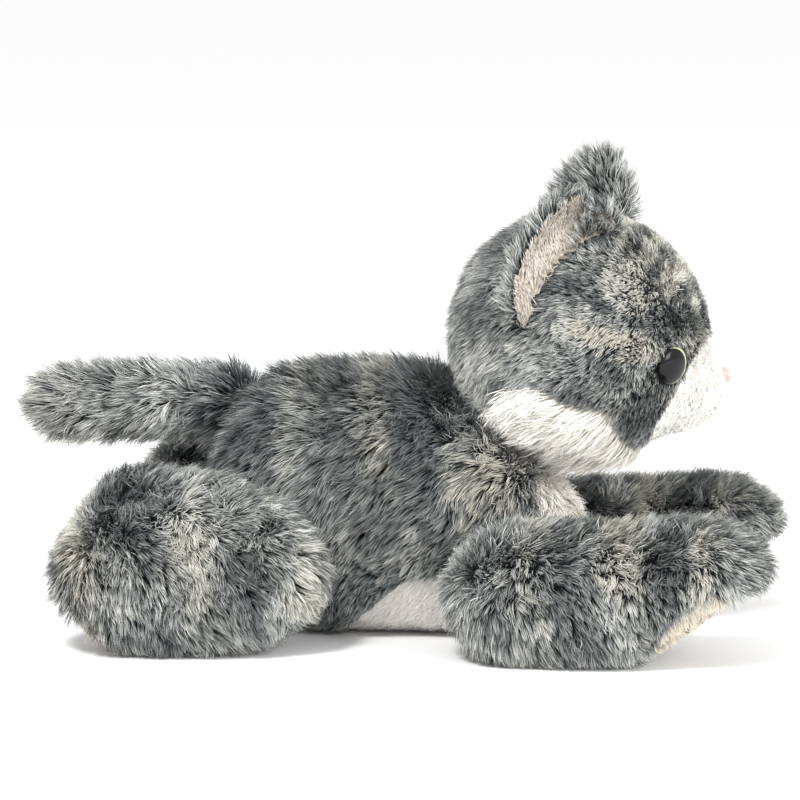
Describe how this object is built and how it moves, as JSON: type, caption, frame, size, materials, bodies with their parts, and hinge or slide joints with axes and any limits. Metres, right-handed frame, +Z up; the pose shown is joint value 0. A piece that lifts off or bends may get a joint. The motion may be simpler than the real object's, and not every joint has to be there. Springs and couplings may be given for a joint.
{
  "type": "plush cat",
  "caption": "Stuffed tabby cat lying on its belly, with a turning head, folding ears, swinging legs and a swaying tail.",
  "frame": {"origin": "on the surface the cat lies on, below the middle of its bounding box", "axes": "+X the way the cat faces, +Y its left side, +Z up"},
  "size_m": [0.201, 0.12, 0.1277],
  "materials": {
    "tabby_pile": "long frosted plush pile, dark roots and silvery tips",
    "white_pile": "silky cream plush pile",
    "muzzle_pile": "short white plush pile",
    "taupe_pile": "short taupe plush pile",
    "sole_pile": "short tan plush pile",
    "nose_pile": "soft pink flock",
    "eye_plastic": "clear dome over a yellow-green iris and black pupil",
    "washer_plastic": "natural plastic",
    "fibre_filling": "white polyester fibre",
    "bean_pouch": "woven pouch of plastic beans"
  },
  "bodies": {
    "torso": {"torso_cover_left": "tabby_pile", "torso_cover_right": "tabby_pile", "belly_panel": "white_pile", "chest_bib": "white_pile", "torso_stuffing": "fibre_filling", "pellet_pouch": "bean_pouch"},
    "neck": {"neck_filling": "fibre_filling"},
    "head": {"head_cover_left": "tabby_pile", "head_cover_right": "tabby_pile", "crown_gusset": "tabby_pile", "cheek_panel_left": "white_pile", "cheek_panel_right": "white_pile", "muzzle_panel": "muzzle_pile", "nose_patch": "nose_pile", "head_stuffing": "fibre_filling", "eye_left": "eye_plastic", "eye_washer_left": "washer_plastic", "eye_right": "eye_plastic", "eye_washer_right": "washer_plastic"},
    "ear_left": {"ear_outer_left": "tabby_pile", "ear_inner_left": "taupe_pile"},
    "ear_right": {"ear_outer_right": "tabby_pile", "ear_inner_right": "taupe_pile"},
    "foreleg_left": {"foreleg_outer_panel_left": "tabby_pile", "foreleg_inner_panel_left": "tabby_pile", "foreleg_sole_left": "sole_pile", "foreleg_stuffing_left": "fibre_filling"},
    "foreleg_right": {"foreleg_outer_panel_right": "tabby_pile", "foreleg_inner_panel_right": "tabby_pile", "foreleg_sole_right": "sole_pile", "foreleg_stuffing_right": "fibre_filling"},
    "hind_leg_left": {"hind_leg_outer_panel_left": "tabby_pile", "hind_leg_inner_panel_left": "tabby_pile", "hind_leg_sole_left": "sole_pile", "hind_leg_stuffing_left": "fibre_filling"},
    "hind_leg_right": {"hind_leg_outer_panel_right": "tabby_pile", "hind_leg_inner_panel_right": "tabby_pile", "hind_leg_sole_right": "sole_pile", "hind_leg_stuffing_right": "fibre_filling"},
    "tail_root": {"tail_root_filling": "fibre_filling"},
    "tail": {"tail_cover_left": "tabby_pile", "tail_cover_right": "tabby_pile", "tail_stuffing": "fibre_filling"}
  },
  "joints": [
    {"name": "neck_turn", "type": "hinge", "parent": "torso", "child": "neck", "pos_m": [0.049, 0, 0.08], "axis": [0, 0, 1], "range_deg": [-20, 20]},
    {"name": "head_nod", "type": "hinge", "parent": "neck", "child": "head", "pos_m": [0.049, 0, 0.08], "axis": [0, 1, 0], "range_deg": [-12, 12]},
    {"name": "ear_left_fold", "type": "hinge", "parent": "head", "child": "ear_left", "pos_m": [0.049, 0.02425, 0.09625], "axis": [0.5458, -0.5049, 0.6687], "range_deg": [-30, 15]},
    {"name": "ear_right_fold", "type": "hinge", "parent": "head", "child": "ear_right", "pos_m": [0.049, -0.02425, 0.09625], "axis": [0.5458, 0.5049, 0.6687], "range_deg": [-15, 30]},
    {"name": "foreleg_left_swing", "type": "hinge", "parent": "torso", "child": "foreleg_left", "pos_m": [0.037, 0.0255, 0.019], "axis": [0, 1, 0], "range_deg": [-35, 20]},
    {"name": "foreleg_right_swing", "type": "hinge", "parent": "torso", "child": "foreleg_right", "pos_m": [0.037, -0.0255, 0.019], "axis": [0, 1, 0], "range_deg": [-35, 20]},
    {"name": "hind_leg_left_swing", "type": "hinge", "parent": "torso", "child": "hind_leg_left", "pos_m": [-0.034, 0.0255, 0.021], "axis": [0, 1, 0], "range_deg": [-20, 35]},
    {"name": "hind_leg_right_swing", "type": "hinge", "parent": "torso", "child": "hind_leg_right", "pos_m": [-0.034, -0.0255, 0.021], "axis": [0, 1, 0], "range_deg": [-20, 35]},
    {"name": "tail_sway", "type": "hinge", "parent": "torso", "child": "tail_root", "pos_m": [-0.046, 0, 0.061], "axis": [0, 0, 1], "range_deg": [-35, 35]},
    {"name": "tail_lift", "type": "hinge", "parent": "tail_root", "child": "tail", "pos_m": [-0.046, 0, 0.061], "axis": [0, 1, 0], "range_deg": [-25, 35]}
  ]
}
